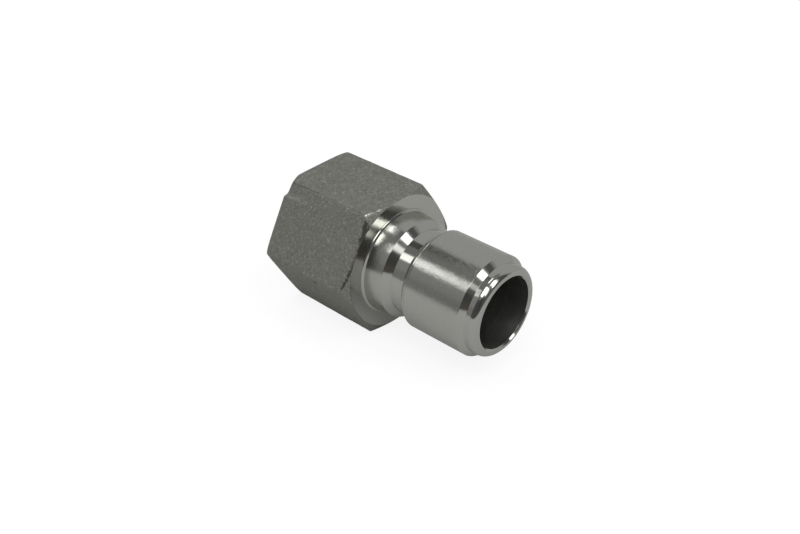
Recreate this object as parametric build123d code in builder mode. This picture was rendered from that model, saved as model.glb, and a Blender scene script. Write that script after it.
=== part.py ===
"""Quick connect fitting: a straight-through male plug with a hexagonal, internally threaded end.

The real fitting is one piece of stainless steel. A hexagonal blank is cast, then the neck, the
locking groove, the barrel and the nose are turned on its front end, a flow bore is drilled
through it, and a taper pipe thread is cut into its back end. So the model is one solid.

Sizes are in millimetres. X is the axis of the bores: the thread's mouth is at X = 0 and the
plug's tip points along +X. The hexagon has a flat facing straight down and one facing up.
"""

import os
from math import cos, radians, tan

from build123d import *

# Thread: the straight hole that is drilled before tapping, and its countersunk mouth
thread_drill_radius = 9.13
thread_depth = 18.0
mouth_radius = 10.9
mouth_slope = 45
drill_point_slope = 31

# Hexagon
flat_wall = 2.6
thread_end_wall = 3.95
hex_corner_round = 0.6
rear_corner_cut = 0.55
rear_corner_slope = 30
shoulder_slope = 28

# Turned face at the hexagon's front, and the fine bead where the collar leaves it
face_overrun = 0.15
face_rise = 0.05
bead_height = 0.44
bead_land = 0.13
bead_slope_length = 0.27

# Flow bore, and the plug's wall at its thinnest place, the groove
bore_radius = 7.15
groove_wall = 1.55

# Locking groove
groove_depth = 1.35
groove_floor = 2.74
groove_lead = 1.41
groove_back_slope = 45

# Collar between the bead and the groove, hollowed a little where it rises to the bead
collar_length = 3.85
collar_root_rise = 0.37
collar_middle_rise = 0.07
collar_end_drop = 0.03

# Barrel, chamfer and nose
barrel_length = 12.75
barrel_edge_round = 0.25
tip_chamfer_length = 1.1
tip_chamfer_drop = 1.05
nose_land = 1.0
nose_round = 1.4

# Radii that follow from the sizes above
across_flats = 2 * (mouth_radius + flat_wall)
corner_reach = across_flats / 2 / cos(radians(30))
face_radius = across_flats / 2 + face_overrun
groove_radius = bore_radius + groove_wall
barrel_radius = groove_radius + groove_depth
collar_root_radius = barrel_radius + collar_root_rise
collar_end_radius = barrel_radius - collar_end_drop
bead_radius = collar_root_radius + bead_height
nose_radius = barrel_radius - tip_chamfer_drop

# Stations along X that follow from the lengths above
drill_point_end = thread_depth + (thread_drill_radius - bore_radius) * tan(radians(drill_point_slope))
hex_length = thread_depth + thread_end_wall
bead_at = hex_length + face_rise
bead_slope_at = bead_at + bead_land
collar_start = bead_slope_at + bead_slope_length
collar_end = collar_start + collar_length
groove_start = collar_end + groove_lead
groove_end = groove_start + groove_floor
barrel_start = groove_end + groove_depth / tan(radians(groove_back_slope))
barrel_end = barrel_start + barrel_length
nose_start = barrel_end + tip_chamfer_length
nose_round_start = nose_start + nose_land
tip = nose_round_start + nose_round

# The trimming outline passes outside the hexagon's corners by this much
trim_margin = 1.0
trim_radius = corner_reach + trim_margin

with BuildPart() as fitting_body:
    # Cast hexagon, with softened corners, as far as the bead
    with BuildSketch(Plane.YZ) as hexagon:
        RegularPolygon(across_flats / 2, 6, major_radius=False)
        fillet(hexagon.vertices(), hex_corner_round)
    extrude(amount=bead_at)

    # Its ends: a light chamfer on the back corners, a steeper cast shoulder on the front ones,
    # and a turned face that rises very slightly towards the bead
    rear_cut_radius = corner_reach - rear_corner_cut
    rear_cut_end = (trim_radius - rear_cut_radius) * tan(radians(rear_corner_slope))
    shoulder_foot = hex_length - (trim_radius - face_radius) * tan(radians(shoulder_slope))
    with BuildSketch(Plane.XY):
        with BuildLine():
            Polyline(
                (0, 0),
                (0, rear_cut_radius),
                (rear_cut_end, trim_radius),
                (shoulder_foot, trim_radius),
                (hex_length, face_radius),
                (bead_at, bead_radius),
                (bead_at, 0),
                close=True,
            )
        make_face()
    revolve(axis=Axis.X, mode=Mode.INTERSECT)

    # Bead, collar hollowed towards it, the collar's sloping end and the groove's floor
    with BuildSketch(Plane.XY):
        with BuildLine():
            bead = Polyline(
                (bead_at, 0),
                (bead_at, bead_radius),
                (bead_slope_at, bead_radius),
                (collar_start, collar_root_radius),
            )
            collar = ThreePointArc(
                bead @ 1,
                ((collar_start + collar_end) / 2, barrel_radius + collar_middle_rise),
                (collar_end, collar_end_radius),
            )
            Polyline(
                collar @ 1,
                (groove_start, groove_radius),
                (groove_end, groove_radius),
                (groove_end, 0),
                (bead_at, 0),
            )
        make_face()
    revolve(axis=Axis.X)

    # Barrel, from the groove's back wall to the rounded nose
    with BuildSketch(Plane.XY) as barrel:
        with BuildLine():
            outline = Polyline(
                (groove_end, 0),
                (groove_end, groove_radius),
                (barrel_start, barrel_radius),
                (barrel_end, barrel_radius),
                (nose_start, nose_radius),
                (nose_round_start, nose_radius),
            )
            nose = JernArc(outline @ 1, (1, 0), nose_round, -90)
            Polyline(nose @ 1, (tip, 0), (groove_end, 0))
        make_face()
        rear_edge = barrel.vertices().group_by(Axis.Y)[-1].sort_by(Axis.X)[0]
        fillet(rear_edge, barrel_edge_round)
    revolve(axis=Axis.X)

    # Hollow: countersunk mouth, drilled thread hole with its conical end, and the flow bore
    mouth_depth = (mouth_radius - thread_drill_radius) / tan(radians(mouth_slope))
    with BuildSketch(Plane.XY):
        with BuildLine():
            Polyline(
                (0, 0),
                (0, mouth_radius),
                (mouth_depth, thread_drill_radius),
                (thread_depth, thread_drill_radius),
                (drill_point_end, bore_radius),
                (tip, bore_radius),
                (tip, 0),
                close=True,
            )
        make_face()
    revolve(axis=Axis.X, mode=Mode.SUBTRACT)

fitting_body.part.label = "fitting_body"

os.makedirs("parts", exist_ok=True)
export_step(fitting_body.part, "parts/fitting_body.step")

print(f"across flats {across_flats:.2f}, length {tip:.2f}, barrel diameter {2 * barrel_radius:.2f}")
print(f"thread hole radius {thread_drill_radius:.2f} from {mouth_depth:.2f} to {thread_depth:.2f}")
print(f"flow bore radius {bore_radius:.2f} from {drill_point_end:.2f} to {tip:.2f}")
print(f"barrel from {barrel_start:.2f} to {barrel_end:.2f}, groove radius {groove_radius:.2f}")
box = fitting_body.part.bounding_box()
print(f"volume {fitting_body.part.volume:.1f}, centre {fitting_body.part.center()}, box {box.min} {box.max}")
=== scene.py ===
"""Blender scene of a quick connect fitting: a male plug with a hexagonal, internally threaded end.

The fitting is one piece of stainless steel, so one closed mesh stands for the one CAD node. Its
outside is built ring by ring round the axis, and a Geometry Nodes tree cuts the taper thread,
which follows a helix, and welds it in. Sizes below are in millimetres until a mesh is written.
"""

import logging
import math
from collections.abc import Callable
from dataclasses import dataclass, field
from enum import Enum

import bpy
import numpy as np
from mathutils import Matrix, Vector


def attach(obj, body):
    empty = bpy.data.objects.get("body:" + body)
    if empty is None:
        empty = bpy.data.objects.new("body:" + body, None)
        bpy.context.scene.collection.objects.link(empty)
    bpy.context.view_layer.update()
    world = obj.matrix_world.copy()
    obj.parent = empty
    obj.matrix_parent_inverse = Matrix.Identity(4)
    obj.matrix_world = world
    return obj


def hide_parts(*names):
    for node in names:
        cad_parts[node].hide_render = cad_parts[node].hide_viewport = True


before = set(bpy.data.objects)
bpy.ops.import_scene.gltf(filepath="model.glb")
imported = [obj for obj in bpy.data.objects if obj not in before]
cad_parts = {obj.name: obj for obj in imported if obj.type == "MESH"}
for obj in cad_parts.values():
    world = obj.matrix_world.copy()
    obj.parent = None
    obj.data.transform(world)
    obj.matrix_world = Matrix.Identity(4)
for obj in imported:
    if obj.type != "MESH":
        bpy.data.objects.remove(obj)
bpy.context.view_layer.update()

log = logging.getLogger("fitting")
MM = 0.001
TURN = 2 * math.pi
Colour = tuple[float, float, float]
Value = float | int | bool | tuple | str | bpy.types.NodeSocket


class Finish(Enum):
    """The finishes on the fitting, in the order of the mesh's material slots."""

    CAST = 0
    TURNED = 1
    SATIN = 2
    BORED = 3
    COLLAR = 4
    THREADED = 5


class Graph:
    """A node tree with short calls that add and join its nodes."""

    def __init__(self, tree: bpy.types.NodeTree, material: bpy.types.Material | None = None) -> None:
        """Keeps the tree that the calls add to, and the material that it belongs to."""
        self.tree = tree
        self.material = material

    @classmethod
    def of_material(cls, name: str) -> "Graph":
        """Makes a material with an empty tree and returns its graph."""
        material = bpy.data.materials.new(name)
        material.use_nodes = True
        material.node_tree.nodes.clear()
        return cls(material.node_tree, material)

    def feed(self, socket: bpy.types.NodeSocket, value: Value) -> None:
        """Links a socket to another, or sets its value."""
        if isinstance(value, bpy.types.NodeSocket):
            self.tree.links.new(value, socket)
        else:
            socket.default_value = value

    def add(
        self, kind: str, inputs: dict[str | int, Value] | None = None, **settings: object
    ) -> bpy.types.Node:
        """Adds a node.

        Args:
            kind: Blender's name for the node type.
            inputs: what each named or numbered input gets, a value or another node's output.
            settings: the node's own properties.

        Returns:
            The new node.
        """
        node = self.tree.nodes.new(kind)
        for name, value in settings.items():
            setattr(node, name, value)
        for key, value in (inputs or {}).items():
            self.feed(node.inputs[key], value)
        return node

    def math(self, operation: str, *values: Value, clamp: bool = False) -> bpy.types.NodeSocket:
        """Adds a Math node and returns its output."""
        node = self.add("ShaderNodeMath", operation=operation, use_clamp=clamp)
        for socket, value in zip(node.inputs, values):
            self.feed(socket, value)
        return node.outputs[0]

    def plus(self, first: Value, second: Value) -> bpy.types.NodeSocket:
        """Adds two values."""
        return self.math("ADD", first, second)

    def minus(self, first: Value, second: Value) -> bpy.types.NodeSocket:
        """Takes the second value from the first."""
        return self.math("SUBTRACT", first, second)

    def times(self, first: Value, second: Value) -> bpy.types.NodeSocket:
        """Multiplies two values."""
        return self.math("MULTIPLY", first, second)

    def over(self, first: Value, second: Value, clamp: bool = False) -> bpy.types.NodeSocket:
        """Divides the first value by the second."""
        return self.math("DIVIDE", first, second, clamp=clamp)

    def larger(self, first: Value, second: Value) -> bpy.types.NodeSocket:
        """Picks the larger of two values."""
        return self.math("MAXIMUM", first, second)

    def smaller(self, first: Value, second: Value) -> bpy.types.NodeSocket:
        """Picks the smaller of two values."""
        return self.math("MINIMUM", first, second)

    def noise(
        self, vector: Value, scale: Value, detail: float, roughness: float = 0.5, distortion: float = 0.0
    ) -> bpy.types.NodeSocket:
        """Adds a noise texture and returns its value, about 0.5 on average."""
        settings = {
            "Vector": vector, "Scale": scale, "Detail": detail,
            "Roughness": roughness, "Distortion": distortion,
        }
        return self.add("ShaderNodeTexNoise", settings).outputs["Fac"]

    def stored(self, name: str) -> bpy.types.NodeSocket:
        """Reads a value that the mesh carries."""
        return self.add("ShaderNodeAttribute", attribute_name=name).outputs["Fac"]

    def group(self, tree: bpy.types.NodeTree, inputs: dict[str, Value]) -> bpy.types.Node:
        """Adds a shader node group with its inputs."""
        node = self.add("ShaderNodeGroup", node_tree=tree)
        for name, value in inputs.items():
            self.feed(node.inputs[name], value)
        return node

    def ramp(
        self, value: Value, low: float, high: float, to_low: Value = 0.0, to_high: Value = 1.0
    ) -> bpy.types.NodeSocket:
        """Maps a value from one range to another with soft ends, and returns the output."""
        node = self.add("ShaderNodeMapRange", interpolation_type="SMOOTHSTEP")
        for socket, given in zip(node.inputs, (value, low, high, to_low, to_high)):
            self.feed(socket, given)
        return node.outputs[0]

    def mix(self, share: Value, first: Value, second: Value, blend: str = "MIX") -> bpy.types.NodeSocket:
        """Mixes two colours and returns the output."""
        node = self.add("ShaderNodeMix", data_type="RGBA", blend_type=blend)
        for index, value in ((0, share), (6, first), (7, second)):
            self.feed(node.inputs[index], value)
        return node.outputs[2]


def sockets(
    tree: bpy.types.NodeTree, inputs: dict[str, tuple[str, Value]], outputs: dict[str, str]
) -> dict[str, str]:
    """Declares a tree's inputs and outputs.

    Args:
        tree: the node tree or group.
        inputs: each input's name, with its socket type and default.
        outputs: each output's name, with its socket type.

    Returns:
        The identifier of each named input.
    """
    identifiers = {}
    for name, (kind, default) in inputs.items():
        socket = tree.interface.new_socket(name, in_out="INPUT", socket_type="NodeSocket" + kind)
        if default is not None:
            socket.default_value = default
        identifiers[name] = socket.identifier
    for name, kind in outputs.items():
        tree.interface.new_socket(name, in_out="OUTPUT", socket_type="NodeSocket" + kind)
    return identifiers


class ShaderGroups:
    """Effects that more than one finish uses, each built once as a shader node group."""

    def __init__(self) -> None:
        """Builds the groups."""
        self.grain = self._grain()
        self.turning = self._turning_marks()
        self.edge_tones = self._edge_darkening()

    @staticmethod
    def _start(
        name: str, inputs: dict[str, tuple[str, Value]], outputs: dict[str, str]
    ) -> tuple[Graph, bpy.types.Node, bpy.types.Node]:
        """Makes an empty group and returns its graph, input node and output node."""
        tree = bpy.data.node_groups.new(name, "ShaderNodeTree")
        sockets(tree, inputs, outputs)
        graph = Graph(tree)
        return graph, graph.add("NodeGroupInput"), graph.add("NodeGroupOutput")

    def _grain(self) -> bpy.types.NodeTree:
        """Fine grain with cloudy patches, as on a blasted casting."""
        graph, given, out = self._start(
            "metal_grain",
            {"Vector": ("Vector", None), "Grain Size": ("Float", 0.2), "Patch Size": ("Float", 3.0)},
            {"Height": "Float", "Speck": "Float", "Hollow": "Float", "Patch": "Float"},
        )
        vector = given.outputs["Vector"]
        per_metre = graph.over(1.0 / MM, given.outputs["Grain Size"])
        fine = graph.noise(vector, per_metre, 3.0, 0.6)
        coarse = graph.noise(vector, graph.times(per_metre, 0.36), 2.0)
        patch_scale = graph.over(1.0 / MM, given.outputs["Patch Size"])
        patch = graph.noise(vector, patch_scale, 4.0, 0.62, 0.4)
        height = graph.plus(graph.times(fine, 0.6), graph.times(coarse, 0.4))
        graph.feed(out.inputs["Height"], height)
        graph.feed(out.inputs["Speck"], graph.ramp(height, 0.54, 0.66))
        graph.feed(out.inputs["Hollow"], graph.ramp(height, 0.47, 0.34))
        graph.feed(out.inputs["Patch"], graph.ramp(patch, 0.3, 0.7))
        return graph.tree

    def _turning_marks(self) -> bpy.types.NodeTree:
        """Fine rings left by a lathe tool, which wander a little round the axis."""
        graph, given, out = self._start(
            "turning_marks",
            {"Vector": ("Vector", None), "Spacing": ("Float", 0.12), "Wander": ("Float", 0.4)},
            {"Height": "Float", "Streak": "Float"},
        )
        vector = given.outputs["Vector"]
        x, y, z = graph.add("ShaderNodeSeparateXYZ", {0: vector}).outputs
        squares = graph.plus(graph.math("POWER", y, 2.0), graph.math("POWER", z, 2.0))
        radius = graph.math("SQRT", squares)
        per_metre = graph.over(1.0 / MM, given.outputs["Spacing"])
        wander = graph.times(graph.noise(vector, 0.25 / MM, 2.0), given.outputs["Wander"])
        across = graph.add(
            "ShaderNodeCombineXYZ",
            {0: graph.times(x, per_metre), 1: graph.times(radius, per_metre), 2: wander},
        ).outputs[0]
        graph.feed(out.inputs["Height"], graph.noise(across, 1.0, 3.0, 0.55))
        broad = graph.noise(across, 0.21, 2.0)
        graph.feed(out.inputs["Streak"], graph.ramp(broad, 0.35, 0.65))
        return graph.tree

    def _edge_darkening(self) -> bpy.types.NodeTree:
        """Darker outer edges and painted shade in inner corners, from the edge values that the mesh
        carries.
        """
        graph, given, out = self._start(
            "edge_wear",
            {"Vector": ("Vector", None), "Edge": ("Float", 0.0), "Break Up": ("Float", 0.6)},
            {"Rubbed": "Float", "Dull": "Float"},
        )
        noise = graph.noise(given.outputs["Vector"], 1.6 / MM, 3.0)
        uneven = graph.times(graph.minus(noise, 0.5), given.outputs["Break Up"])
        inner = graph.times(given.outputs["Edge"], -1.0)
        graph.feed(out.inputs["Rubbed"], graph.ramp(graph.plus(given.outputs["Edge"], uneven), 0.45, 0.95))
        graph.feed(out.inputs["Dull"], graph.ramp(graph.plus(inner, uneven), 0.35, 0.95))
        return graph.tree


@dataclass(frozen=True)
class CastFinish:
    """Blasted investment casting: dull, grainy grey steel with faint clouds, darker outer edges, painted
    shade along the torn front edge and a painted highlight on a raised lip.

    Attributes:
        name: the material's name.
        colour: its colour.
        cloud: its colour in the cloudy patches.
        fleck: its colour on the specks of the grain.
        painted_glint: its painted highlight, near white, where the turning tool tore up a raised lip.
        dull: its colour in the hollows of the grain and along the darker outer edges.
        painted_shade: its colour for the painted shade along the torn front edge and in the pit.
        roughness: how blurred its reflections are.
        grain_size: size of the grain, in millimetres.
        grain_depth: height of the grain, in millimetres.
        patch_size: size of the cloudy patches, in millimetres.
        break_up: how uneven the darker outer edges are.
        fleck_share: how strongly the specks show.
        hollow_share: how strongly the hollows show.
        outer_edge_share: how strongly the darker outer edges show.
        painted_shade_share: how strongly the painted shade along the torn edge shows.
        pit_at: the place of the tiny pit, in millimetres.
        pit_radius: its radius, in millimetres.
        grazing: how much of its sheen it keeps when it is seen at a low angle.
    """

    name: str = "cast_steel"
    colour: Colour = (0.364, 0.370, 0.334)
    cloud: Colour = (0.397, 0.394, 0.361)
    fleck: Colour = (0.80, 0.80, 0.74)
    painted_glint: Colour = (0.95, 0.94, 0.91)
    dull: Colour = (0.16, 0.16, 0.143)
    painted_shade: Colour = (0.055, 0.053, 0.047)
    roughness: float = 0.68
    grain_size: float = 0.17
    grain_depth: float = 0.024
    patch_size: float = 4.2
    break_up: float = 0.9
    fleck_share: float = 0.8
    hollow_share: float = 0.62
    outer_edge_share: float = 0.75
    painted_shade_share: float = 0.8
    pit_at: tuple[float, float, float] = (13.50, -14.86, -1.25)
    pit_radius: float = 0.55
    grazing: float = 0.55

    def material(self, groups: ShaderGroups) -> bpy.types.Material:
        """Builds the material.

        Args:
            groups: the shared shader node groups.

        Returns:
            The finished material.
        """
        graph, shader, place = start_material(self.name, self.grazing)
        grain = graph.group(
            groups.grain, {"Vector": place, "Grain Size": self.grain_size, "Patch Size": self.patch_size}
        ).outputs
        edge_tones = graph.group(
            groups.edge_tones, {"Vector": place, "Edge": graph.stored("edge"), "Break Up": self.break_up}
        )
        pit_at = tuple(value * MM for value in self.pit_at)
        from_pit = graph.add("ShaderNodeVectorMath", {0: place, 1: pit_at}, operation="DISTANCE")
        pit_edge = self.pit_radius * MM
        pit = graph.ramp(from_pit.outputs["Value"], 0.3 * pit_edge, pit_edge, 1.0, 0.0)

        colour = graph.mix(grain["Patch"], (*self.colour, 1), (*self.cloud, 1))
        colour = graph.mix(graph.times(grain["Speck"], self.fleck_share), colour, (*self.fleck, 1))
        colour = graph.mix(graph.times(grain["Hollow"], self.hollow_share), colour, (*self.dull, 1))
        # Darker along the outer edges of the casting, most at the corner that dark_crease gives.
        outer_edge_dark = graph.times(edge_tones.outputs["Rubbed"], self.outer_edge_share)
        colour = graph.mix(outer_edge_dark, colour, (*self.dull, 1))
        # Painted shade: a ragged dark line in the crease along the front edge of the main flat, and in the
        # pit.
        front_shade_mask = graph.times(self._front_edge_shade(graph, grain["Height"]), self.painted_shade_share)
        colour = graph.mix(graph.larger(front_shade_mask, pit), colour, (*self.painted_shade, 1))
        # Painted highlight: near white on the raised lip that the turning tool tore up, which is also
        # smoother.
        glint_and_polish = graph.ramp(graph.stored("bright"), 0.12, 0.36)
        colour = graph.mix(glint_and_polish, colour, (*self.painted_glint, 1))
        graph.feed(shader.inputs["Base Color"], colour)

        rough = graph.plus(graph.times(grain["Patch"], -0.06), self.roughness)
        rough = graph.minus(rough, graph.times(glint_and_polish, 0.4))
        graph.feed(shader.inputs["Roughness"], rough)
        height = graph.minus(grain["Height"], graph.times(pit, 3.0))
        give_bump(graph, shader, height, self.grain_depth)
        return graph.material

    @staticmethod
    def _front_edge_shade(graph: Graph, height: Value) -> bpy.types.NodeSocket:
        """Ragged dark line of painted shade along the front edge of a flat, where the turning tool left the
        casting.
        """
        ragged = graph.minus(graph.stored("burr"), graph.times(graph.minus(height, 0.5), 2.8))
        return graph.ramp(ragged, 0.34, 0.88)


@dataclass(frozen=True)
class TurnedFinish:
    """Bright turned steel with a satin grain, faint tool rings and painted shade in its inner corners.

    Attributes:
        name: the material's name.
        colour: its colour.
        streak: its colour along broader tool rings.
        dull: its colour in the painted shade of inner corners and in hollows of the grain.
        fleck: its colour on the specks of the grain.
        roughness: how blurred its reflections are.
        ring_spacing: distance between tool rings, in millimetres.
        ring_depth: height of the tool rings, in millimetres.
        wander: how much the rings change on their way round.
        streak_share: how strongly the broader rings show.
        grain_size: size of the grain, in millimetres.
        grain_depth: height of the grain, in millimetres.
        patch_size: size of the patches that are blurred differently, in millimetres.
        break_up: how uneven the painted shade in inner corners is.
        corner_shade_share: how strongly it shows.
        sparkle: how much the specks blur the reflections.
        speckle: how much the specks and hollows differ in colour.
        grazing: how much of its sheen it keeps when it is seen at a low angle.
    """

    name: str = "turned_steel"
    colour: Colour = (0.572, 0.576, 0.536)
    streak: Colour = (0.550, 0.552, 0.512)
    dull: Colour = (0.16, 0.152, 0.135)
    fleck: Colour = (0.90, 0.90, 0.86)
    roughness: float = 0.09
    ring_spacing: float = 0.10
    ring_depth: float = 0.0003
    wander: float = 0.5
    streak_share: float = 0.6
    grain_size: float = 0.22
    grain_depth: float = 0.0005
    patch_size: float = 2.4
    break_up: float = 0.3
    corner_shade_share: float = 0.7
    sparkle: float = 0.0
    speckle: float = 0.0
    grazing: float = 0.9

    def material(self, groups: ShaderGroups) -> bpy.types.Material:
        """Builds the material.

        Args:
            groups: the shared shader node groups.

        Returns:
            The finished material.
        """
        graph, shader, place = start_material(self.name, self.grazing)
        marks = graph.group(
            groups.turning, {"Vector": place, "Spacing": self.ring_spacing, "Wander": self.wander}
        )
        grain = graph.group(
            groups.grain, {"Vector": place, "Grain Size": self.grain_size, "Patch Size": self.patch_size}
        ).outputs
        edge_tones = graph.group(
            groups.edge_tones, {"Vector": place, "Edge": graph.stored("edge"), "Break Up": self.break_up}
        )

        streaky = graph.times(marks.outputs["Streak"], self.streak_share)
        colour = graph.mix(streaky, (*self.colour, 1), (*self.streak, 1))
        colour = graph.mix(graph.times(grain["Speck"], self.speckle), colour, (*self.fleck, 1))
        colour = graph.mix(graph.times(grain["Hollow"], self.speckle), colour, (*self.dull, 1))
        # Painted shade in inner corners, and in the crease where the cast sides meet the turned face.
        colour = graph.mix(graph.times(edge_tones.outputs["Dull"], self.corner_shade_share), colour, (*self.dull, 1))
        graph.feed(shader.inputs["Base Color"], colour)

        rough = graph.plus(graph.times(grain["Patch"], 0.05), self.roughness)
        rough = graph.plus(rough, graph.times(grain["Speck"], self.sparkle))
        rough = graph.minus(rough, graph.times(grain["Hollow"], 0.25 * self.sparkle))
        graph.feed(shader.inputs["Roughness"], rough)
        rings = graph.times(marks.outputs["Height"], self.ring_depth)
        give_bump(graph, shader, graph.plus(rings, graph.times(grain["Height"], self.grain_depth)), 1.0)
        return graph.material


def give_bump(graph: Graph, shader: bpy.types.Node, height: Value, depth: float) -> None:
    """Feeds a shader's normal with a bump.

    Args:
        graph: the material's graph.
        shader: its Principled shader.
        height: the height that makes the bump.
        depth: how deep a height of 1 is, in millimetres.
    """
    bump = graph.add("ShaderNodeBump", {"Strength": 1.0, "Distance": depth * MM, "Height": height})
    graph.feed(shader.inputs["Normal"], bump.outputs[0])


def start_material(name: str, grazing: float) -> tuple[Graph, bpy.types.Node, bpy.types.NodeSocket]:
    """Makes a metal material with nothing linked yet.

    Args:
        name: the material's name.
        grazing: how much of its sheen it keeps when it is seen at a low angle.

    Returns:
        Its graph, its Principled shader, and the Object coordinates.
    """
    graph = Graph.of_material(name)
    tint = (grazing, grazing, 0.98 * grazing, 1.0)
    shader = graph.add("ShaderNodeBsdfPrincipled", {"Metallic": 1.0, "Specular Tint": tint})
    out = graph.add("ShaderNodeOutputMaterial")
    graph.feed(out.inputs["Surface"], shader.outputs[0])
    return graph, shader, graph.add("ShaderNodeTexCoord").outputs["Object"]


def direction(azimuth: float, elevation: float) -> Vector:
    """The direction at an azimuth and an elevation, both in radians."""
    level = math.cos(elevation)
    return Vector((math.cos(azimuth) * level, math.sin(azimuth) * level, math.sin(elevation)))


def glow(name: str, tint: Colour, level: float) -> bpy.types.Material:
    """Makes a material that shines evenly and returns it."""
    graph = Graph.of_material(name)
    light = graph.add("ShaderNodeEmission", {"Color": (*tint, 1.0), "Strength": level})
    graph.feed(graph.add("ShaderNodeOutputMaterial").inputs["Surface"], light.outputs[0])
    return graph.material


def placed(name: str, data: bpy.types.ID) -> bpy.types.Object:
    """Makes an object of a mesh, lamp or camera, puts it in the scene and returns it."""
    made = bpy.data.objects.new(name, data)
    bpy.context.scene.collection.objects.link(made)
    return made


@dataclass
class Corner:
    """A corner of a turned outline: its place along the axis, its radius, and how far it is rounded."""

    x: float
    r: float
    softness: float = 0.0


@dataclass
class Rings:
    """Rings of points round the axis, from which one skin is laid.

    Attributes:
        x: place along the axis, one row for each ring and one column for each angle.
        r: distance from the axis, in the same order.
        edge: 1 on an outer corner, which the casting shows darker, -1 in an inner one, which gets painted
            shade.
        burr: nearness to the front edge of a cast flat, where a line of painted shade goes.
        bright: 1 where the turning tool tore up a raised lip, which is smoother and gets a painted
            highlight.
        finish: the finish of the band that follows each ring.
        sharp: whether the ring is a hard edge.
    """

    x: list[np.ndarray] = field(default_factory=list)
    r: list[np.ndarray] = field(default_factory=list)
    edge: list[np.ndarray] = field(default_factory=list)
    burr: list[np.ndarray] = field(default_factory=list)
    bright: list[np.ndarray] = field(default_factory=list)
    finish: list[np.ndarray] = field(default_factory=list)
    sharp: list[bool] = field(default_factory=list)

    def add(self, x: np.ndarray, r: np.ndarray, finish: Finish | np.ndarray, edge: np.ndarray | float = 0.0,
            burr: np.ndarray | float = 0.0, bright: np.ndarray | float = 0.0, sharp: bool = False) -> None:
        """Adds one ring."""
        self.x.append(x)
        self.r.append(r)
        self.edge.append(np.zeros_like(x) + edge)
        self.burr.append(np.zeros_like(x) + burr)
        self.bright.append(np.zeros_like(x) + bright)
        self.finish.append(np.zeros_like(x) + (finish.value if isinstance(finish, Finish) else finish))
        self.sharp.append(sharp)


def softened(
    corners: list[Corner], steps: int = 4, beside: float = 0.03
) -> list[tuple[float, float, float]]:
    """Rounds the corners of a turned outline.

    A point beside each rounding keeps the straight next to it flat.

    Args:
        corners: the outline's corners in order.
        steps: the number of short lines in each rounding.
        beside: how far from the rounding that point is.

    Returns:
        Points as place along the axis, radius and edge value.
    """
    points = []
    for index, corner in enumerate(corners):
        here = np.array((corner.x, corner.r))
        if corner.softness == 0 or index in (0, len(corners) - 1):
            points.append((corner.x, corner.r, 0.0))
            continue
        before, after = corners[index - 1], corners[index + 1]
        back = np.array((before.x, before.r)) - here
        ahead = np.array((after.x, after.r)) - here
        back, ahead = back / np.linalg.norm(back), ahead / np.linalg.norm(ahead)
        half = math.acos(float(np.clip(back @ ahead, -1, 1))) / 2
        centre = here + (back + ahead) / np.linalg.norm(back + ahead) * corner.softness / math.sin(half)
        first = here + back * corner.softness / math.tan(half) - centre
        last = here + ahead * corner.softness / math.tan(half) - centre
        start = math.atan2(first[1], first[0])
        sweep = (math.atan2(last[1], last[0]) - start + math.pi) % TURN - math.pi
        value = 1.0 if sweep < 0 else -1.0
        if math.dist((before.x, before.r), here) > beside * 10:
            points.append((*(centre + first + back * beside), 0.0))
        for share in np.linspace(0, 1, steps + 1):
            angle = start + sweep * share
            point = centre + corner.softness * np.array((math.cos(angle), math.sin(angle)))
            points.append((point[0], point[1], value * (1 - abs(2 * share - 1))))
        if math.dist((after.x, after.r), here) > beside * 10:
            points.append((*(centre + last + ahead * beside), 0.0))
    return points


def joined(values: list[np.ndarray], softness: float) -> np.ndarray:
    """The larger of several distances, rounded where they are nearly equal, so that edges are soft."""
    stack = np.stack(values) / softness
    top = stack.max(axis=0)
    return softness * (top + np.log(np.exp(stack - top).sum(axis=0)))


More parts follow.
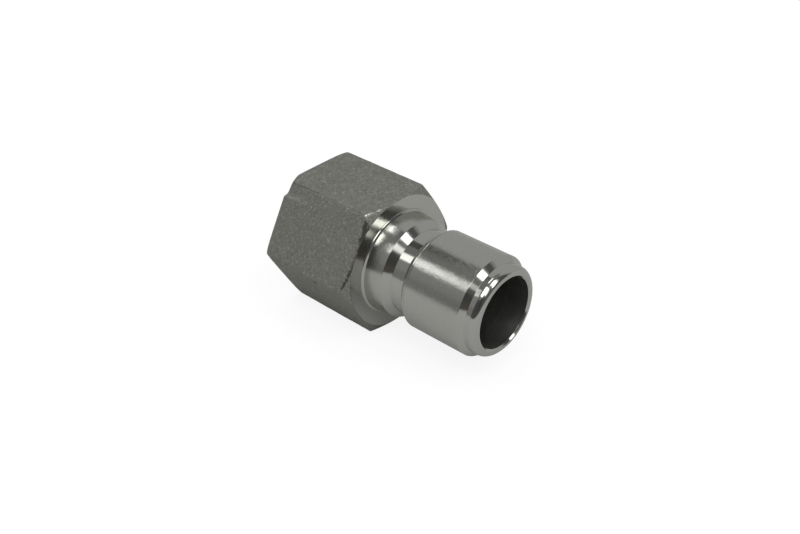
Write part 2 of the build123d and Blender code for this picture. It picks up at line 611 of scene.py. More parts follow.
@dataclass
class CastHexagon:
    """The cast hexagonal end, with softened edges, turned flat at its front.

    Angles go round the axis in degrees, from the level corner on the camera's side towards the
    top. Slopes are in degrees and lengths in millimetres, unless it says otherwise.

    Attributes:
        rear_cut: the radius at which the rear chamfer starts on each of the six corners.
        face_radius: the radius at which the front shoulder meets the turned face.
        face_slope: how much the turned face rises for each millimetre towards the axis.
        dent_angles: angles across the uneven hollow in the rear corner.
        dent_radii: how far from the axis the metal reaches at each of those angles.
        unevenness: depth of the slight hollows in the cast sides.
        waves: how many crossing waves make those hollows.
        wave_lengths: the shortest and the longest of those waves.
        tear: unevenness of the edge that the turning tool tore.
        crest_width: how far from the shoulder's corner its raised lip reaches.
        front_shade_width: how far from the front edge the line of painted shade reaches.
        dark_crease: the angle of the corner whose darker edge line is the darkest.
        rear_start: the radius on the back face at which the bands of faces start.
        bands: how many of them there are, as far as the front face.
    """

    across_flats: float = 27.0
    length: float = 21.95
    corner_softness: float = 0.12
    rear_softness: float = 0.2
    shoulder_softness: float = 0.05
    rear_slope: float = 30.0
    rear_cut: tuple[float, ...] = (15.0, 15.05, 14.6, 15.0, 15.0, 14.45)
    shoulder_slope: float = 28.0
    face_radius: float = 13.65
    face_slope: float = 0.02
    dent_angles: tuple[float, ...] = (45.5, 47.5, 50.5, 56.0, 61.0, 66.0, 72.0)
    dent_radii: tuple[float, ...] = (15.6, 14.2, 13.5, 13.9, 14.4, 14.5, 15.6)
    dent_slope: float = 0.2
    dent_softness: float = 0.25
    unevenness: float = 0.035
    waves: int = 24
    wave_lengths: tuple[float, float] = (1.6, 7.0)
    tear: float = 0.07
    crest_width: float = 0.26
    front_shade_width: float = 0.4
    dark_crease: float = 60.0
    rear_start: float = 12.1
    bands: int = 48

    def sides(self, r: np.ndarray, angle: np.ndarray) -> list[np.ndarray]:
        """Distances outside the six flats."""
        facing = [math.radians(30 + 60 * side) for side in range(6)]
        return [r * np.cos(angle - towards) - self.across_flats / 2 for towards in facing]

    def dent(self, x: np.ndarray, r: np.ndarray, angle: np.ndarray) -> np.ndarray:
        """Distance outside the uneven hollow in one rear corner."""
        turned, far = np.degrees(np.mod(angle, TURN)), 17.0
        limits = [
            np.interp(turned + offset, self.dent_angles, self.dent_radii, left=far, right=far)
            for offset in (-2.4, -1.2, 0, 1.2, 2.4)
        ]
        return r - sum(limits) / len(limits) - self.dent_slope * x

    def cast_form(self, x: np.ndarray, r: np.ndarray, angle: np.ndarray) -> np.ndarray:
        """How far points are outside the casting, with all its edges softened.

        Args:
            x: places along the axis.
            r: distances from the axis.
            angle: angles round the axis.

        Returns:
            The distance, negative inside.
        """
        blank = joined(self.sides(r, angle), self.corner_softness)
        blank = joined([blank, self.dent(x, r, angle)], self.dent_softness)
        blank = joined([blank, -x, self.rear_cone(x, r, angle)], self.rear_softness)
        return joined([blank, self.shoulder(x, r)], self.shoulder_softness)

    def edge_value(self, x: np.ndarray, r: np.ndarray, angle: np.ndarray) -> np.ndarray:
        """How close points on the casting are to one of its edges, from 0 to 1."""
        near = np.stack([*self.sides(r, angle), self.rear_cone(x, r, angle), self.shoulder(x, r)]) / 0.1
        share = np.exp(near - near.max(axis=0)).sum(axis=0)
        crease = np.clip(1 - np.abs(np.degrees(angle) - self.dark_crease) / 6, 0.62, 1)
        return np.clip(2 * (1 - 1 / share), 0, 1) * crease

    def shoulder(self, x: np.ndarray, r: np.ndarray) -> np.ndarray:
        """Distance outside the sloping front shoulder."""
        slope = math.radians(self.shoulder_slope)
        return (x - self.length) * math.cos(slope) + (r - self.face_radius) * math.sin(slope)

    def rear_cone(self, x: np.ndarray, r: np.ndarray, angle: np.ndarray) -> np.ndarray:
        """Distance outside the rear chamfer, which doesn't cut the casting's corners equally."""
        turn = np.mod(angle, TURN) / math.radians(60)
        corners = np.array(self.rear_cut)
        low = np.floor(turn).astype(int) % 6
        share = np.clip((turn - np.floor(turn) - 0.5) / 0.5 + 0.5, 0, 1)
        share = share * share * (3 - 2 * share)
        start = corners[low] * (1 - share) + corners[(low + 1) % 6] * share
        slope = math.radians(self.rear_slope)
        return (r - start) * math.sin(slope) - x * math.cos(slope)

    def on_face(self, r: np.ndarray) -> np.ndarray:
        """Place along the axis of the turned front face at a radius."""
        return self.length + (self.face_radius - r) * self.face_slope

    @staticmethod
    def solve(
        at: Callable[[np.ndarray], np.ndarray], low: np.ndarray, high: np.ndarray
    ) -> np.ndarray:
        """Finds where a line leaves the casting, by halving.

        Args:
            at: gives the distance outside the casting for each value along the line.
            low: values inside.
            high: values outside.

        Returns:
            The values on the surface.
        """
        low, high = low.copy(), high.copy()
        for _ in range(34):
            middle = (low + high) / 2
            outside = at(middle) > 0
            high = np.where(outside, middle, high)
            low = np.where(outside, low, middle)
        return (low + high) / 2

    def front_flaws(self, degrees: np.ndarray) -> tuple[np.ndarray, np.ndarray]:
        """What the turning tool did to the front edge.

        Args:
            degrees: the angle of each column.

        Returns:
            How far it tore the edge, in millimetres, and the height of the lip it raised, from 0 to 1.
        """
        random = np.random.default_rng(14)
        torn = np.interp(degrees, (2, 8, 52, 58), (0, 1, 1, 0), left=0, right=0)
        torn = torn * random.normal(size=len(degrees)) * self.tear
        raised = np.interp(
            degrees, (58, 59.5, 64, 66, 68, 71, 73), (0, 1, 0.9, 0.2, 0.3, 1, 0), left=0, right=0
        )
        return torn, raised * (0.6 + 0.4 * random.random(len(degrees)))

    def side_lines(
        self, angles: np.ndarray, front_x: np.ndarray, front_r: np.ndarray
    ) -> tuple[np.ndarray, np.ndarray, np.ndarray]:
        """Follows the casting from the back face to the turned face, along each column.

        Args:
            angles: the angle of each column.
            front_x: where each column meets the turned face, along the axis.
            front_r: how far from the axis that is.

        Returns:
            Fine points, as place along the axis and radius, and how far along the column each one
            is, from 0 to 1, where bends count as extra length.
        """
        middle_x, middle_r, fine = 11.0, 7.0, 480
        first = np.full_like(angles, math.atan2(self.rear_start - middle_r, -middle_x))
        last = np.arctan2(front_r - middle_r, front_x - middle_x)
        share = np.linspace(0, 1, fine + 1)[:, None]
        way = first + (last - first) * share
        wide = np.broadcast_to(angles, way.shape)
        reach = self.solve(
            lambda t: self.cast_form(middle_x + t * np.cos(way), middle_r + t * np.sin(way), wide),
            np.full_like(way, 1.0), np.full_like(way, 22.0),
        )
        x, r = np.maximum(middle_x + reach * np.cos(way), 0), middle_r + reach * np.sin(way)
        x[0], r[0], x[-1], r[-1] = 0.0, self.rear_start, front_x, front_r
        along = np.hypot(np.diff(x, axis=0), np.diff(r, axis=0))
        heading = np.unwrap(np.arctan2(np.diff(r, axis=0), np.diff(x, axis=0)), axis=0)
        bend = np.abs(np.diff(heading, axis=0, prepend=heading[:1]))
        # A bend of 7 degrees gets as many faces as 0.9 mm of straight
        weight = np.cumsum(along / 0.9 + bend / math.radians(7), axis=0)
        weight = np.vstack([np.zeros_like(angles), weight])
        return x, r, weight / weight[-1]

    def build(self, rings: Rings, angles: np.ndarray, face_end: Corner) -> None:
        """Adds the rings of the back face, the cast sides, and the turned front face.

        Args:
            rings: the rings so far, which end at the thread's mouth.
            angles: the angle of each column.
            face_end: where the front face ends, near the axis.
        """
        degrees = np.degrees(angles)
        front_r = self.solve(
            lambda r: self.cast_form(self.on_face(r), r, angles),
            np.full_like(angles, 8.0), np.full_like(angles, 17.0),
        )
        torn, raised = self.front_flaws(degrees)
        rings.add(0 * angles, 0 * angles + (rings.r[-1] + self.rear_start) / 2, Finish.TURNED)
        x, r, weight = self.side_lines(angles, self.on_face(front_r), front_r)

        columns = range(len(angles))
        main_flat = np.interp(degrees, (1, 4, 56, 59), (0, 1, 1, 0), left=0, right=0)
        # Painted shade in the crease where the cast sides meet the turned face, at each angle.
        crease_shade = np.interp(degrees, (0, 12, 20, 300, 312, 360), (1, 1, 0, 0, 1, 1))
        # How far below the flat the line of painted shade reaches, at each angle.
        front_shade_reach = np.interp(degrees, (26, 38, 56, 58), (0.25, 1.7, 1.7, 0.25))
        for band in range(self.bands + 1):
            at = band / self.bands
            ring_x = np.array([np.interp(at, weight[:, column], x[:, column]) for column in columns])
            ring_r = np.array([np.interp(at, weight[:, column], r[:, column]) for column in columns])
            edge = self.edge_value(ring_x, ring_r, angles)
            to_front = np.maximum(self.shoulder(ring_x, ring_r), ring_x - self.on_face(ring_r))
            below_flat = -np.max(self.sides(ring_r, angles), axis=0)
            # Painted shade: a dark line along the front edge of the main flat, for the cast finish.
            line = np.exp(-np.abs(to_front) / self.front_shade_width) * main_flat
            line = line * np.clip(1.3 - below_flat / front_shade_reach, 0, 1)
            hard = band == self.bands
            from_corner = np.abs(self.shoulder(ring_x, ring_r)) + np.abs(below_flat)
            # The raised lip at the front edge near the top corner, which the cast finish paints with a
            # highlight.
            crest = raised * np.exp(-from_corner / self.crest_width)
            if hard:
                ring_r = ring_r - np.abs(torn)
                ring_x = self.on_face(ring_r)
                # The crease at the turned face gets painted shade from the turned finish.
                edge = -0.9 * crease_shade
            else:
                room = np.clip(-to_front, 0, 1) * np.clip(ring_x / 1.0, 0, 1)
                ring_r = ring_r - self.lumps(ring_x, ring_r, angles) * room + 0.12 * crest
                ring_x = ring_x + 0.16 * crest
            ring_r = np.minimum(ring_r, self.across_flats / 2 / np.maximum(np.abs(np.sin(angles)), 0.5))
            finish = np.where(ring_x < 0.03, Finish.TURNED.value, Finish.CAST.value)
            rings.add(
                ring_x, ring_r, Finish.TURNED if hard else finish, edge=edge,
                burr=line, bright=crest, sharp=hard,
            )
        for share in np.linspace(0, 1, 9)[1:]:
            ring_r = front_r + (face_end.r - front_r) * share
            rings.add(self.on_face(ring_r), ring_r, Finish.TURNED)

    def lumps(self, x: np.ndarray, r: np.ndarray, angle: np.ndarray) -> np.ndarray:
        """Slight hollows in the cast sides, always inwards, from a few crossing waves."""
        random = np.random.default_rng(27)
        y, z = -r * np.cos(angle), r * np.sin(angle)
        total = np.zeros_like(x)
        for _ in range(self.waves):
            heading = random.normal(size=3)
            heading /= np.linalg.norm(heading)
            length = random.uniform(*self.wave_lengths)
            along = x * heading[0] + y * heading[1] + z * heading[2]
            share = math.sqrt(length / self.wave_lengths[1])
            total += share * np.sin(TURN * along / length + random.uniform(0, TURN))
        return self.unevenness * (1 + np.tanh(total / 3)) / 2


@dataclass
class PlugEnd:
    """The turned end: bead, collar, locking groove, barrel, chamfer and rounded nose."""

    face_end: Corner = field(default_factory=lambda: Corner(22.006, 10.86))
    bead_x: tuple[float, float] = (22.13, 22.40)
    bead_radius: float = 10.86
    collar_root: float = 10.42
    collar_end_x: float = 26.25
    collar_end: float = 10.02
    groove_x: tuple[float, float] = (27.66, 30.40)
    groove_radius: float = 8.70
    barrel_x: tuple[float, float] = (31.75, 44.5)
    barrel_radius: float = 10.05
    nose_x: tuple[float, float] = (45.6, 46.6)
    nose_radius: float = 9.0
    nose_round: float = 1.4
    bore_radius: float = 7.15
    lip_bevel: float = 0.3
    drill_end: Corner = field(default_factory=lambda: Corner(19.19, 7.15))
    thread_end: Corner = field(default_factory=lambda: Corner(18.0, 9.13))

    def collar_at(self, x: float) -> float:
        """Radius of the collar, which is hollowed where it rises to the bead."""
        share = (self.collar_end_x - x) / (self.collar_end_x - self.bead_x[1])
        return self.collar_end + (self.collar_root - self.collar_end) * (0.3 * share + 0.7 * share ** 2)

    def outline(self) -> list[Corner]:
        """Corners of the turned outside, from the front face to the start of the rounded nose."""
        rear_line = self.barrel_x[0] + 0.24
        barrel = np.linspace(rear_line + 0.13, self.barrel_x[1], 8)[1:-1]
        hollowed = np.linspace(self.bead_x[1], self.collar_end_x, 10)[1:-1]
        return [
            self.face_end,
            Corner(self.bead_x[0], self.bead_radius, 0.2),
            Corner(self.bead_x[1], self.collar_root, 0.04),
            *(Corner(float(x), self.collar_at(float(x))) for x in hollowed),
            Corner(self.collar_end_x, self.collar_end, 0.05),
            Corner(self.groove_x[0], self.groove_radius, 0.06),
            Corner(self.groove_x[1], self.groove_radius, 0.08),
            Corner(self.barrel_x[0], self.barrel_radius, 0.10),
            Corner(rear_line, self.barrel_radius),
            Corner(rear_line + 0.06, self.barrel_radius - 0.08),
            Corner(rear_line + 0.13, self.barrel_radius),
            *(Corner(float(x), self.barrel_radius) for x in barrel),
            Corner(self.barrel_x[1], self.barrel_radius, 0.05),
            Corner(self.nose_x[0], self.nose_radius, 0.05),
            Corner(self.nose_x[1] - 0.06, self.nose_radius),
            Corner(self.nose_x[1], self.nose_radius),
        ]

    def build(self, rings: Rings, angles: np.ndarray) -> None:
        """Adds the rings from the bead round the nose and back through the flow bore.

        Args:
            rings: the rings so far, which end where the front face does.
            angles: the angle of each column.
        """
        full = np.ones_like(angles)
        for x, r, edge in softened(self.outline())[1:]:
            finish = Finish.TURNED
            if self.barrel_x[0] + 0.3 < x < self.barrel_x[1] - 0.1:
                finish = Finish.SATIN
            elif self.bead_x[1] < x < self.collar_end_x:
                finish = Finish.COLLAR
            rings.add(x * full, r * full, finish, edge=edge)
        tip = self.nose_x[1] + self.nose_round
        lip = self.nose_radius - self.nose_round
        for angle in np.radians(np.linspace(90, 0, 13)[1:]):
            x = self.nose_x[1] + self.nose_round * math.cos(angle)
            rings.add(x * full, (lip + self.nose_round * math.sin(angle)) * full, Finish.TURNED)
        inner = [
            Corner(tip, lip),
            Corner(tip, self.bore_radius + self.lip_bevel, 0.02),
            Corner(tip - self.lip_bevel, self.bore_radius, 0.02),
            Corner(tip - 1.2, self.bore_radius),
        ]
        for x, r, _ in softened(inner, 2)[1:-1]:
            rings.add(x * full, r * full, Finish.TURNED)
        rings.finish[-1] = 0 * full + Finish.BORED.value
        for x in np.linspace(tip - 1.2, self.drill_end.x, 9):
            rings.add(x * full, self.bore_radius * full, Finish.BORED)
        rings.sharp[-1] = True
        rings.add(self.thread_end.x * full, self.thread_end.r * full, Finish.BORED, sharp=True)


@dataclass
class TaperThread:
    """The female taper pipe thread, cut by a Geometry Nodes tree along its helix.

    Attributes:
        pitch: distance between its turns, in millimetres.
        drill_radius: the radius of the hole that is drilled first, which the crests keep.
        mouth_radius: the radius at the outer edge of the countersunk mouth.
        root_radius: the radius of the thread's root at the back face.
        taper: how much that radius falls for each millimetre.
        flank_angle: slope of the flanks, in degrees.
        root_flat: width of the root's flat, as a share of the groove's width.
        run_out: where the grooves start to fade and where they end, in millimetres.
        depth: depth of the drilled hole.
        rows: rows of points in each turn.
        weld: points nearer than this are joined, in millimetres.
        hard_bend: edges that bend by more than this, in degrees, are hard.
    """

    pitch: float = 1.8143
    drill_radius: float = 9.13
    mouth_radius: float = 10.9
    root_radius: float = 10.61
    taper: float = 1 / 32
    flank_angle: float = 30.0
    root_flat: float = 0.07
    run_out: tuple[float, float] = (14.2, 17.4)
    depth: float = 18.0
    rows: int = 9
    weld: float = 0.003
    hard_bend: float = 33.0

    def tree(self, columns: int, crowding: float) -> tuple[bpy.types.NodeTree, dict[str, str]]:
        """Builds the tree: a grid laid along the helix, welded to the rest of the skin.

        Args:
            columns: the number of columns round the axis.
            crowding: how much the columns crowd at the hexagon's corners.

        Returns:
            The tree and the identifiers of its inputs.
        """
        tree = bpy.data.node_groups.new("taper_thread", "GeometryNodeTree")
        identifiers = sockets(
            tree,
            {
                "Geometry": ("Geometry", None), "Pitch": ("Float", 1.0), "Drill Radius": ("Float", 1.0),
                "Mouth Radius": ("Float", 1.0), "Root Radius": ("Float", 1.0), "Taper": ("Float", 0.0),
                "Root Flat": ("Float", 0.0), "Run Out Start": ("Float", 1.0), "Run Out End": ("Float", 1.0),
                "Depth": ("Float", 1.0), "Thread Finish": ("Material", None),
            },
            {"Geometry": "Geometry"},
        )
        graph = Graph(tree)
        given = graph.add("NodeGroupInput").outputs
        turns = math.ceil(self.depth / self.pitch + 0.5) + 1
        grid = graph.add(
            "GeometryNodeMeshGrid",
            {"Size X": 1.0, "Size Y": 1.0, "Vertices X": turns * self.rows + 1, "Vertices Y": columns + 1},
        )
        index = graph.add("GeometryNodeInputIndex").outputs[0]
        row = graph.math("FLOOR", graph.over(graph.plus(index, 0.5), columns + 1))
        column = graph.minus(index, graph.times(row, columns + 1))
        even = graph.times(column, TURN / columns)
        angle = graph.minus(even, graph.times(graph.math("SINE", graph.times(even, 6.0)), crowding / 6))
        x, radius = self.profile(graph, given, row, angle)
        place = graph.add(
            "ShaderNodeCombineXYZ",
            {
                0: x,
                1: graph.times(graph.times(radius, graph.math("COSINE", angle)), -1.0),
                2: graph.times(radius, graph.math("SINE", angle)),
            },
        )
        metres = graph.add(
            "ShaderNodeVectorMath", {0: place.outputs[0], "Scale": MM}, operation="SCALE"
        ).outputs[0]
        thread = graph.add(
            "GeometryNodeSetPosition", {"Geometry": grid.outputs["Mesh"], "Position": metres}
        ).outputs[0]
        marked = graph.add(
            "GeometryNodeStoreNamedAttribute",
            {"Geometry": thread, "Name": "threaded", "Value": True}, data_type="BOOLEAN", domain="FACE",
        )
        joined = graph.add("GeometryNodeJoinGeometry", {0: marked.outputs[0]})
        graph.feed(joined.inputs[0], given["Geometry"])
        dressed = self.finished(graph, joined.outputs[0], given["Thread Finish"])
        graph.feed(graph.add("NodeGroupOutput").inputs["Geometry"], dressed)
        return tree, identifiers

    def profile(
        self, graph: Graph, given: bpy.types.bpy_prop_collection, row: Value, angle: Value
    ) -> tuple[bpy.types.NodeSocket, bpy.types.NodeSocket]:
        """Finds where each point of the grid lies on the thread.

        The rows of one turn cross one groove, from the crest behind it to the crest ahead. The
        groove narrows where the taper or the run-out makes it shallow.

        Args:
            graph: the tree's graph.
            given: the tree's inputs.
            row: the number of the point's row.
            angle: its angle round the axis.

        Returns:
            Its place along the axis and its distance from it, in millimetres.
        """
        turn = graph.math("FLOOR", graph.over(graph.plus(row, 0.5), self.rows))
        step = graph.minus(row, graph.times(turn, self.rows))
        way = graph.plus(graph.minus(turn, 1.0), graph.over(angle, TURN))
        centre = graph.times(way, given["Pitch"])
        flank = math.tan(math.radians(self.flank_angle))
        root = graph.minus(given["Root Radius"], graph.times(centre, given["Taper"]))
        fading = graph.over(
            graph.minus(given["Run Out End"], centre),
            graph.minus(given["Run Out End"], given["Run Out Start"]),
            clamp=True,
        )
        half = graph.times(graph.minus(root, given["Drill Radius"]), flank)
        half = graph.times(graph.larger(half, 0.0), fading)
        half = graph.smaller(half, graph.times(given["Pitch"], 0.47))
        flat = graph.times(given["Root Flat"], half)
        off = graph.minus(step, self.rows / 2)
        out = graph.over(graph.minus(graph.math("ABSOLUTE", off), 0.5), (self.rows - 3) / 2)
        beside = graph.plus(graph.times(out, half), graph.times(graph.minus(1.0, out), flat))
        crest = graph.math("LESS_THAN", step, 0.5)
        beside = graph.plus(
            graph.times(beside, graph.minus(1.0, crest)),
            graph.times(graph.times(given["Pitch"], 0.5), crest),
        )
        cut = graph.over(graph.larger(graph.minus(half, beside), 0.0), flank)
        radius = graph.plus(given["Drill Radius"], cut)
        x = graph.plus(centre, graph.times(graph.math("SIGN", off), beside))
        x = graph.smaller(graph.larger(x, 0.0), given["Depth"])
        radius = graph.larger(radius, graph.minus(given["Mouth Radius"], x))
        return x, radius

    def finished(
        self, graph: Graph, geometry: bpy.types.NodeSocket, finish: bpy.types.NodeSocket
    ) -> bpy.types.NodeSocket:
        """Welds the thread to the skin, turns its faces outwards, shades it and gives it its finish.

        Args:
            graph: the tree's graph.
            geometry: the thread and the skin, side by side.
            finish: the material of the thread.

        Returns:
            The finished geometry.
        """
        flag = "GeometryNodeInputNamedAttribute"
        shade = "GeometryNodeSetShadeSmooth"
        hard = graph.add(flag, {"Name": "hard_ring"}, data_type="BOOLEAN").outputs["Attribute"]
        cut_faces = graph.add(flag, {"Name": "threaded"}, data_type="BOOLEAN").outputs["Attribute"]
        bend = graph.add("GeometryNodeInputMeshEdgeAngle").outputs["Unsigned Angle"]
        always_hard = graph.times(hard, 9.0)
        soft = graph.math("LESS_THAN", graph.plus(bend, always_hard), math.radians(self.hard_bend))
        steps = (
            ("GeometryNodeMergeByDistance", {"Distance": self.weld * MM}, {}),
            ("GeometryNodeFlipFaces", {}, {}),
            (shade, {"Shade Smooth": True}, {"domain": "FACE"}),
            (shade, {"Shade Smooth": soft}, {"domain": "EDGE"}),
            ("GeometryNodeRealizeInstances", {}, {}),
            ("GeometryNodeSetMaterial", {"Selection": cut_faces, "Material": finish}, {}),
        )
        for kind, inputs, settings in steps:
            geometry = graph.add(kind, {0: geometry, **inputs}, **settings).outputs[0]
        return geometry

    def cut_into(
        self, piece: bpy.types.Object, material: bpy.types.Material, columns: int, crowding: float
    ) -> None:
        """Runs the tree on the piece and keeps the result as its mesh.

        Args:
            piece: the skin, open between the mouth and the thread's end.
            material: the thread's finish.
            columns: the number of columns round the axis.
            crowding: how much the columns crowd at the hexagon's corners.
        """
        tree, identifiers = self.tree(columns, crowding)
        modifier = piece.modifiers.new("taper_thread", "NODES")
        modifier.node_group = tree
        for name, value in (
            ("Pitch", self.pitch), ("Drill Radius", self.drill_radius), ("Mouth Radius", self.mouth_radius),
            ("Root Radius", self.root_radius), ("Taper", self.taper), ("Root Flat", self.root_flat),
            ("Run Out Start", self.run_out[0]), ("Run Out End", self.run_out[1]), ("Depth", self.depth),
            ("Thread Finish", material),
        ):
            modifier[identifiers[name]] = value
        evaluated = piece.evaluated_get(bpy.context.evaluated_depsgraph_get())
        mesh = bpy.data.meshes.new_from_object(evaluated)
        mesh.name = piece.data.name + "_threaded"
        piece.modifiers.remove(modifier)
        piece.data = mesh
        for index in reversed(range(len(mesh.materials))):
            if mesh.materials[index] is None:
                mesh.materials.pop(index=index)


@dataclass
class Fitting:
    """The whole fitting: one skin that stands for the CAD node."""

    node: str = "fitting_body"
    body: str = "root"
    record_slot: str = "stainless_steel"
    columns: int = 360
    crowding: float = 0.62
    hexagon: CastHexagon = field(default_factory=CastHexagon)
    plug: PlugEnd = field(default_factory=PlugEnd)
    thread: TaperThread = field(default_factory=TaperThread)

    def build(self, groups: ShaderGroups) -> bpy.types.Object:
        """Builds, dresses and registers the fitting.

        Args:
            groups: the shared shader node groups.

        Returns:
            The finished piece.
        """
        even = np.arange(self.columns) * TURN / self.columns
        angles = even - self.crowding / 6 * np.sin(6 * even)
        rings = Rings()
        full = np.ones_like(angles)
        rings.add(0 * full, self.thread.mouth_radius * full, Finish.TURNED, sharp=True)
        self.hexagon.build(rings, angles, self.plug.face_end)
        self.plug.build(rings, angles)
        piece = self.skin(rings, angles)
        finishes = {
            Finish.CAST: CastFinish(),
            Finish.TURNED: TurnedFinish(),
            Finish.SATIN: TurnedFinish(
                name="satin_steel", roughness=0.11, ring_depth=0.0006,
                grain_size=0.24, grain_depth=0.034, sparkle=0.13, speckle=0.06,
            ),
            Finish.COLLAR: TurnedFinish(
                name="collar_steel", roughness=0.11, ring_depth=0.0006,
                grain_size=0.24, grain_depth=0.024, sparkle=0.10, speckle=0.06,
            ),
            Finish.BORED: TurnedFinish(
                name="bored_steel", colour=(0.46, 0.465, 0.44), streak=(0.34, 0.344, 0.325),
                roughness=0.37, ring_spacing=0.3, ring_depth=0.003, grain_depth=0.001,
            ),
            Finish.THREADED: TurnedFinish(
                name="threaded_steel", colour=(0.56, 0.553, 0.522), streak=(0.42, 0.415, 0.39),
                roughness=0.24, ring_spacing=0.2, ring_depth=0.002, grain_depth=0.001,
            ),
        }
        materials = {finish: finishes[finish].material(groups) for finish in Finish}
        for finish in list(Finish)[:-1]:
            piece.data.materials.append(materials[finish])
        self.thread.cut_into(piece, materials[Finish.THREADED], self.columns, self.crowding)
        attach(piece, self.body)
        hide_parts(self.node)
        return piece

    def skin(self, rings: Rings, angles: np.ndarray) -> bpy.types.Object:
        """Lays faces over the rings and stores what the finishes need to know.

        Args:
            rings: all the rings, from the thread's mouth to its end.
            angles: the angle of each column.

        Returns:
            The skin, still open where the thread is.
        """
        x, r = np.array(rings.x), np.array(rings.r)
        points = np.stack([x, -r * np.cos(angles), r * np.sin(angles)], axis=-1).reshape(-1, 3) * MM
        count, columns = len(x), self.columns
        base = np.arange(count - 1)[:, None] * columns
        column = np.arange(columns)[None, :]
        following = (column + 1) % columns
        upper = base + columns
        faces = np.stack([base + column, base + following, upper + following, upper + column], axis=-1)
        mesh = bpy.data.meshes.new("fitting_skin")
        mesh.from_pydata(points.tolist(), [], faces.reshape(-1, 4).tolist())
        mesh.polygons.foreach_set("material_index", np.array(rings.finish[:-1], np.int32).ravel())
        for name, values in (("edge", rings.edge), ("burr", rings.burr), ("bright", rings.bright)):
            layer = mesh.attributes.new(name, "FLOAT", "POINT")
            layer.data.foreach_set("value", np.array(values, np.float32).ravel())
        ends = np.zeros(len(mesh.edges) * 2, np.int32)
        mesh.edges.foreach_get("vertices", ends)
        ring = ends.reshape(-1, 2) // columns
        hard = (ring[:, 0] == ring[:, 1]) & np.array(rings.sharp)[ring[:, 0]]
        mesh.attributes.new("hard_ring", "BOOLEAN", "EDGE").data.foreach_set("value", hard)
        mesh.update()
        return placed("fitting_skin", mesh)


@dataclass
class Card:
    """A pale or dark card that the bright metal mirrors: part of a sphere round the fitting."""

    name: str
    azimuth: tuple[float, float]
    elevation: tuple[float, float]
    level: float
    tint: Colour = (1.0, 1.0, 1.0)
    distance: float = 3.0

    def build(self) -> bpy.types.Object:
        """Builds the card and returns it."""
        across, up = 24, 12
        azimuths = np.radians(np.linspace(*self.azimuth, across + 1))
        elevations = np.radians(np.linspace(*self.elevation, up + 1))
        points = [direction(a, e) * self.distance for e in elevations for a in azimuths]
        row = across + 1
        firsts = [j * row + i for j in range(up) for i in range(across)]
        faces = [(first, first + 1, first + row + 1, first + row) for first in firsts]
        mesh = bpy.data.meshes.new(self.name)
        mesh.from_pydata(points, [], faces)
        mesh.materials.append(glow(self.name, self.tint, self.level))
        card = placed(self.name, mesh)
        card.visible_camera = card.visible_diffuse = card.visible_shadow = False
        card.visible_transmission = card.visible_volume_scatter = False
        return card


@dataclass
class Panel:
    """A soft light panel, placed by its direction from the fitting and its size seen from there."""

    name: str
    azimuth: float
    elevation: float
    across: tuple[float, float]
    up: tuple[float, float]
    level: float
    lean: float = 0.0
    distance: float = 1.2
    centre_x: float = 24.0

    def build(self) -> bpy.types.Object:
        """Builds the lamp and returns it."""
        azimuth = math.radians(self.azimuth)
        towards = direction(azimuth, math.radians(self.elevation))
        side = Vector((-math.sin(azimuth), math.cos(azimuth), 0.0))
        rise = towards.cross(side)
        middle = towards + side * sum(self.across) / 2 + rise * sum(self.up) / 2
        lamp = bpy.data.lights.new(self.name, "AREA")
        lamp.shape = "RECTANGLE"
        lamp.size = (self.across[1] - self.across[0]) * self.distance
        lamp.size_y = (self.up[1] - self.up[0]) * self.distance
        lamp.energy = self.level * math.pi * lamp.size * lamp.size_y
        panel = placed(self.name, lamp)
        turn = Matrix((side, rise, towards)).transposed()
        turn = turn @ Matrix.Rotation(math.radians(self.lean), 3, "Z")
        place = middle * self.distance + Vector((self.centre_x * MM, 0, 0))
        panel.matrix_world = Matrix.Translation(place) @ turn.to_4x4()
        panel.visible_camera = False
        return panel


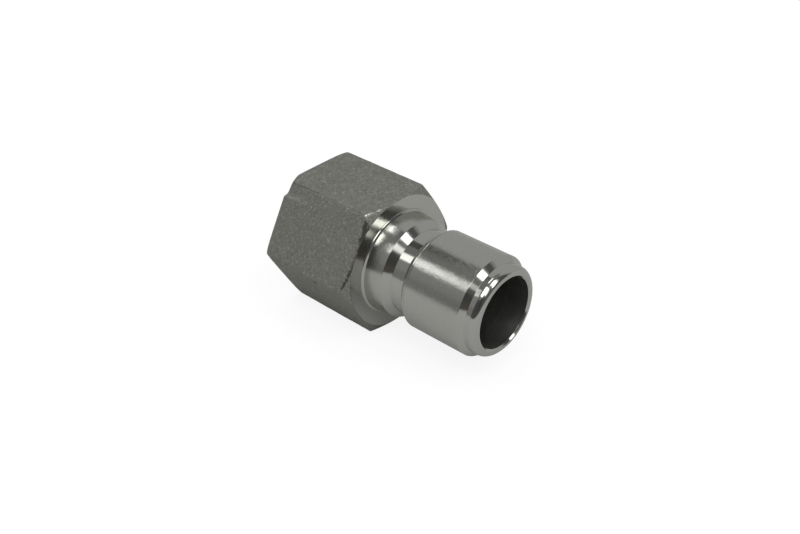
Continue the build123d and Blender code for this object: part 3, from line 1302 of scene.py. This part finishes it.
@dataclass
class Studio:
    """Floor, surroundings, light panels and camera.

    Attributes:
        floor_z: height of the floor, in millimetres.
        floor_reach: how far the floor reaches, in metres.
        floor_white: how white the floor's paper is.
        floor_glow: share of the floor's look that is its own even white, which leaves a soft shadow.
        mirrored_glow: the same share where metal mirrors the floor.
        mirrored_level: how bright that even white is in metal.
        mirrored_world: how bright the surroundings are in metal.
        mirrored_paper: how white the floor's paper is in metal.
        world_level: how much light the surroundings give.
        camera_at: the camera's place, in millimetres.
        camera_azimuth: how far the camera is turned round the vertical, in radians.
        camera_elevation: how far it looks down, in radians.
        camera_roll: how far it leans, in radians.
        lens: its focal length, in millimetres.
        cards: the cards that the metal mirrors.
        panels: the light panels.
    """

    floor_z: float = -13.5
    floor_reach: float = 6.0
    floor_white: float = 0.9
    floor_glow: float = 0.86
    mirrored_glow: float = 0.3
    mirrored_level: float = 0.4
    mirrored_world: float = 0.425
    mirrored_paper: float = 0.39
    world_level: float = 0.8
    camera_at: tuple[float, float, float] = (138.078, -124.001, 113.988)
    camera_azimuth: float = 0.75228
    camera_elevation: float = 0.59697
    camera_roll: float = 0.01747
    lens: float = 47.25
    cards: tuple[Card, ...] = (
        Card("card_viewer", (-115, -62), (-2, 43), 0.082),
        Card("card_viewer_low", (-62, -24), (-2, 13), 0.09, (1.0, 0.88, 0.82)),
        Card("card_viewer_side", (-62, -24), (13, 43), 0.062),
        Card("card_front", (-24, 22), (-2, 35), 0.13),
        Card("card_front_high", (-24, 22), (35, 60), 0.2),
        Card("card_corner", (22, 44), (-2, 65), 0.095),
        Card("card_corner_pale", (44, 50), (-2, 65), 0.29),
        Card("card_left", (-212, -115), (-2, 18), 0.225),
        Card("card_left_middle", (-212, -115), (18, 43), 0.28),
        Card("card_left_high", (-178, -24), (43, 60), 0.20),
        Card("card_back_high", (157, 182), (43, 60), 0.075),
        Card("card_ceiling", (-180, 180), (60, 90), 0.21),
    )
    panels: tuple[Panel, ...] = (
        Panel("panel_left", -90, 58, (-0.80, -0.56), (-0.17, 0.14), 1.65),
        Panel("panel_long", -90, 58, (-0.215, 0.40), (-0.10, 0.325), 3.4),
        Panel("panel_long_middle", -90, 58, (0.40, 0.85), (0.01, 0.365), 2.4),
        Panel("panel_long_right", -90, 58, (0.85, 1.30), (0.04, 0.36), 1.25),
        Panel("panel_long_end", -90, 58, (1.30, 1.55), (0.06, 0.33), 0.7),
        Panel("panel_strip", 5, 55, (-0.05, 0.21), (-0.56, 0.37), 2.8, lean=12.0),
        Panel("panel_small", 168, 69, (-0.15, 0.12), (-0.02, 0.14), 2.6),
    )

    def build(self) -> None:
        """Builds all of it."""
        self.build_floor()
        self.build_world()
        for item in (*self.cards, *self.panels):
            item.build()
        self.build_camera()
        bpy.context.scene.view_settings.view_transform = "Standard"

    @staticmethod
    def background(graph: Graph, seen: float, mirrored: float) -> bpy.types.NodeSocket:
        """How much of its own white a surface shows to the camera, and in metal and glass."""
        path = graph.add("ShaderNodeLightPath").outputs
        through = graph.larger(path["Is Glossy Ray"], path["Is Transmission Ray"])
        return graph.larger(graph.times(path["Is Camera Ray"], seen), graph.times(through, mirrored))

    def build_floor(self) -> None:
        """Builds a white floor that keeps a soft shadow."""
        reach, z = self.floor_reach, self.floor_z * MM
        mesh = bpy.data.meshes.new("floor")
        corners = [(-reach, -reach, z), (reach, -reach, z), (reach, reach, z), (-reach, reach, z)]
        mesh.from_pydata(corners, [], [(0, 1, 2, 3)])
        floor = placed("floor", mesh)
        graph = Graph.of_material("white_floor")
        white = graph.add(
            "ShaderNodeMapRange",
            {0: self.background(graph, 0.0, 1.0), 3: self.floor_white, 4: self.mirrored_paper},
        )
        paper = graph.add("ShaderNodeBsdfDiffuse", {"Color": white.outputs[0]})
        level = self.background(graph, 1.0, self.mirrored_level)
        shining = graph.add("ShaderNodeEmission", {"Color": (1.0, 1.0, 1.0, 1.0), "Strength": level})
        share = self.background(graph, self.floor_glow, self.mirrored_glow)
        both = graph.add("ShaderNodeMixShader", {0: share, 1: paper.outputs[0], 2: shining.outputs[0]})
        graph.feed(graph.add("ShaderNodeOutputMaterial").inputs["Surface"], both.outputs[0])
        mesh.materials.append(graph.material)

    def build_world(self) -> None:
        """Sets an even pale world, which the camera and bright metal see as white."""
        world = bpy.data.worlds.new("studio")
        bpy.context.scene.world = world
        world.use_nodes = True
        world.node_tree.nodes.clear()
        graph = Graph(world.node_tree)
        direct = self.background(graph, 1.0, 1.0)
        other = graph.times(graph.minus(1.0, direct), self.world_level)
        level = graph.plus(self.background(graph, 1.0, self.mirrored_world), other)
        sky = graph.add("ShaderNodeBackground", {"Color": (1.0, 1.0, 1.0, 1.0), "Strength": level})
        graph.feed(graph.add("ShaderNodeOutputWorld").inputs["Surface"], sky.outputs[0])

    def build_camera(self) -> None:
        """Places the camera as it was solved from the hexagon's edges and the turned circles."""
        azimuth, elevation, roll = self.camera_azimuth, self.camera_elevation, self.camera_roll
        ahead = direction(azimuth + math.pi / 2, -elevation)
        right = Vector((math.cos(azimuth), math.sin(azimuth), 0.0))
        down = ahead.cross(right)
        across = right * math.cos(roll) + down * math.sin(roll)
        below = down * math.cos(roll) - right * math.sin(roll)
        data = bpy.data.cameras.new("camera")
        data.lens, data.sensor_width = self.lens, 36.0
        data.clip_start, data.clip_end = 0.01, 50.0
        camera = placed("camera", data)
        turn = Matrix((across, -below, -ahead)).transposed()
        camera.matrix_world = Matrix.Translation(Vector(self.camera_at) * MM) @ turn.to_4x4()
        bpy.context.scene.camera = camera


def main() -> None:
    """Builds the studio and the fitting, and reports each."""
    logging.basicConfig(level=logging.INFO, format="%(message)s")
    Studio().build()
    log.info("studio built")
    piece = Fitting().build(ShaderGroups())
    log.info("%s: %d vertices, %d faces", piece.name, len(piece.data.vertices), len(piece.data.polygons))


if __name__ == "__main__":
    main()
